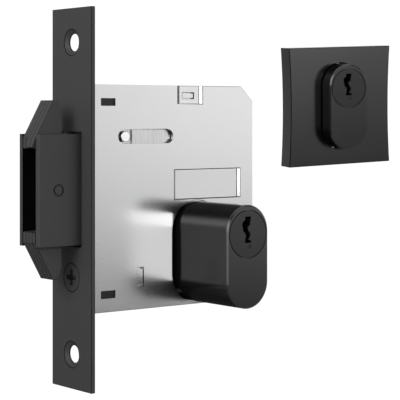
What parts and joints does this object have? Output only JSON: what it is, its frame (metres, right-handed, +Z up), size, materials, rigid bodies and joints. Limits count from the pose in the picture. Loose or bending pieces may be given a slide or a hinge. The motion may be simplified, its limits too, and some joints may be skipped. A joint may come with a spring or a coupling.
{
  "type": "hook-bolt mortice deadlock",
  "caption": "Narrow mortice deadlock with a black faceplate, a bolt that spreads claws, a zinc case, an oval key cylinder and a square black cylinder rosette.",
  "frame": {"origin": "middle of the faceplate's back face, halfway between the two fixing holes", "axes": "+X into the door from the faceplate, +Z up along the faceplate, -Y towards the user's side of the door"},
  "size_m": [0.1849, 0.0825, 0.1212],
  "materials": {
    "black_plate": "satin black coating",
    "black_bolt": "satin black coating on steel",
    "black_steel": "black oxide",
    "black_cylinder": "satin black plating",
    "black_rosette": "satin black coating",
    "zinc_steel": "bright zinc plate",
    "plain_steel": "plain steel",
    "spring_steel": "tempered spring steel",
    "brass": "plain brass"
  },
  "bodies": {
    "case": {"faceplate": "black_plate", "near_cover": "zinc_steel", "far_tray": "zinc_steel", "upper_lug": "black_steel", "lower_lug": "black_steel", "upper_spacer": "zinc_steel", "lower_spacer": "zinc_steel", "spring_post": "zinc_steel", "retainer_spring": "spring_steel", "cylinder_body": "black_cylinder", "driver_pins": "brass", "pin_springs": "spring_steel", "chamber_plugs": "brass", "cylinder_screw": "black_steel", "rosette_cover": "black_rosette", "rosette_backplate": "zinc_steel", "rosette_cylinder_body": "black_cylinder"},
    "bolt": {"near_cheek": "black_bolt", "far_cheek": "black_bolt", "cheek_rivet": "black_bolt", "bolt_tail": "zinc_steel", "tail_rivets": "plain_steel", "tail_plate": "zinc_steel", "tail_plate_rivets": "plain_steel", "guide_stud": "zinc_steel", "upper_hook_pivot": "plain_steel", "lower_hook_pivot": "plain_steel"},
    "upper_hook": {"upper_hook_plate_1": "black_bolt", "upper_hook_plate_2": "black_bolt", "upper_hook_plate_3": "black_bolt", "upper_hook_plate_4": "black_bolt", "upper_hook_rivets": "plain_steel", "upper_drive_pin": "zinc_steel"},
    "lower_hook": {"lower_hook_plate_1": "black_bolt", "lower_hook_plate_2": "black_bolt", "lower_hook_plate_3": "black_bolt", "lower_hook_plate_4": "black_bolt", "lower_hook_rivets": "plain_steel", "lower_drive_pin": "zinc_steel"},
    "key_drive": {"front_plug": "black_cylinder", "front_plug_clip": "plain_steel", "front_key_pins": "brass", "cam": "plain_steel", "cam_clutch": "brass"},
    "back_plug_set": {"back_plug": "black_cylinder", "back_plug_clip": "plain_steel", "back_key_pins": "brass"},
    "rosette_plug_set": {"rosette_plug": "black_cylinder", "rosette_key_pins": "brass"}
  },
  "joints": [
    {"name": "bolt_slide", "type": "slide", "parent": "case", "child": "bolt", "axis": [1, 0, 0], "range_m": [0, 0.017]},
    {"name": "upper_hook_fold", "type": "hinge", "parent": "bolt", "child": "upper_hook", "pos_m": [-0.0045, 0.0008, 0.0185], "axis": [0, -1, 0], "range_deg": [0, 90]},
    {"name": "lower_hook_fold", "type": "hinge", "parent": "bolt", "child": "lower_hook", "pos_m": [-0.0045, 0.0008, -0.0125], "axis": [0, 1, 0], "range_deg": [0, 90]},
    {"name": "key_turn", "type": "hinge", "parent": "case", "child": "key_drive", "pos_m": [0.0435, 0, -0.0115], "axis": [0, 1, 0], "range_deg": [0, 72]},
    {"name": "back_plug_turn", "type": "hinge", "parent": "case", "child": "back_plug_set", "pos_m": [0.0435, 0, -0.0115], "axis": [0, 1, 0], "continuous": true},
    {"name": "rosette_plug_turn", "type": "hinge", "parent": "case", "child": "rosette_plug_set", "pos_m": [0.14279, 0.03348, 0.03783], "axis": [0.1955, 0.9783, 0.068], "continuous": true}
  ],
  "couplings": [
    {"joint": "upper_hook_fold", "follows": "bolt_slide", "rad_per_m": 92.4},
    {"joint": "lower_hook_fold", "follows": "bolt_slide", "rad_per_m": 92.4},
    {"joint": "key_turn", "follows": "bolt_slide", "rad_per_m": 73.92}
  ]
}
